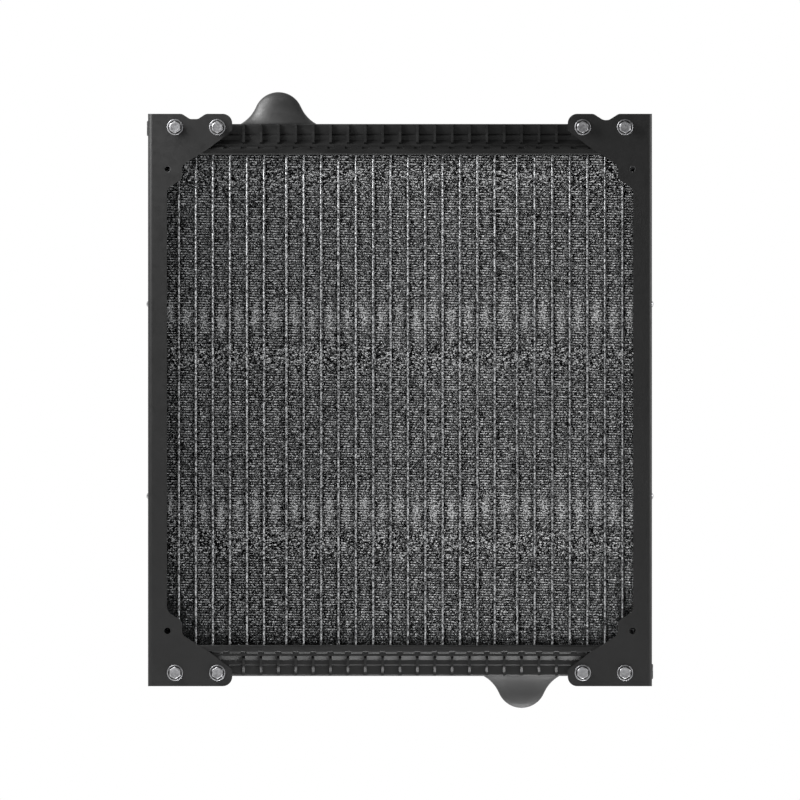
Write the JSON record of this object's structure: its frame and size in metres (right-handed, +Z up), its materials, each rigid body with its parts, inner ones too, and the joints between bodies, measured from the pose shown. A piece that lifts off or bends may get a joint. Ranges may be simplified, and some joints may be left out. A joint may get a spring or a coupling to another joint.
{
  "type": "engine coolant radiator",
  "caption": "Engine coolant radiator: folded black steel side frames with bolted corner ears, ribbed end tanks with domed rear-facing hose ports, crimped headers, flat tubes and fins.",
  "frame": {"origin": "centre of the four shroud holes, on the front faces of the side frames", "axes": "+Z up from the lower tank to the upper tank, +Y from the front face to the hose ports at the rear, +X to the right seen from the front"},
  "size_m": [0.5634, 0.128, 0.6842],
  "materials": {
    "frame_steel": "satin black powder coat",
    "tank_plastic": "black glass-filled nylon, fine moulded grain",
    "header_paint": "satin black paint over aluminium",
    "seal_rubber": "moulded rubber",
    "tube_aluminium": "brazed, slightly dull",
    "fin_aluminium": "thin rolled strip, dark coating",
    "support_aluminium": "satin black paint",
    "bolt_zinc": "zinc plated",
    "insert_brass": "machined",
    "rivet_aluminium": "plain",
    "plug_steel": "dark zinc plated",
    "washer_aluminium": "soft ring"
  },
  "bodies": {
    "radiator": {"left_side_frame": "frame_steel", "right_side_frame": "frame_steel", "top_tank": "tank_plastic", "bottom_tank": "tank_plastic", "top_header": "header_paint", "bottom_header": "header_paint", "top_gasket": "seal_rubber", "bottom_gasket": "seal_rubber", "core_tubes": "tube_aluminium", "core_fins": "fin_aluminium", "left_core_support": "support_aluminium", "right_core_support": "support_aluminium", "front_flange_bolts": "bolt_zinc", "rear_flange_bolts": "bolt_zinc", "bolt_inserts": "insert_brass", "vent_port_insert": "insert_brass", "drain_port_insert": "insert_brass", "side_rivets": "rivet_aluminium", "weld_nuts": "frame_steel"},
    "vent_washer_slider": {"vent_plug_washer": "washer_aluminium"},
    "vent_plug_screw": {"vent_plug": "plug_steel"},
    "drain_washer_slider": {"drain_plug_washer": "washer_aluminium"},
    "drain_plug_screw": {"drain_plug": "plug_steel"}
  },
  "joints": [
    {"name": "vent_plug_lift", "type": "slide", "parent": "radiator", "child": "vent_washer_slider", "axis": [-1, 0, 0], "range_m": [0, 0.0105]},
    {"name": "vent_plug_turn", "type": "hinge", "parent": "vent_washer_slider", "child": "vent_plug_screw", "pos_m": [-0.2767, 0.035, 0.3017], "axis": [-1, 0, 0], "range_deg": [0, 2521]},
    {"name": "drain_plug_lift", "type": "slide", "parent": "radiator", "child": "drain_washer_slider", "axis": [1, 0, 0], "range_m": [0, 0.0105]},
    {"name": "drain_plug_turn", "type": "hinge", "parent": "drain_washer_slider", "child": "drain_plug_screw", "pos_m": [0.2767, 0.035, -0.3017], "axis": [1, 0, 0], "range_deg": [0, 2521]}
  ],
  "couplings": [
    {"joint": "vent_plug_turn", "follows": "vent_plug_lift", "rad_per_m": 4188.8},
    {"joint": "drain_plug_turn", "follows": "drain_plug_lift", "rad_per_m": 4188.8}
  ]
}
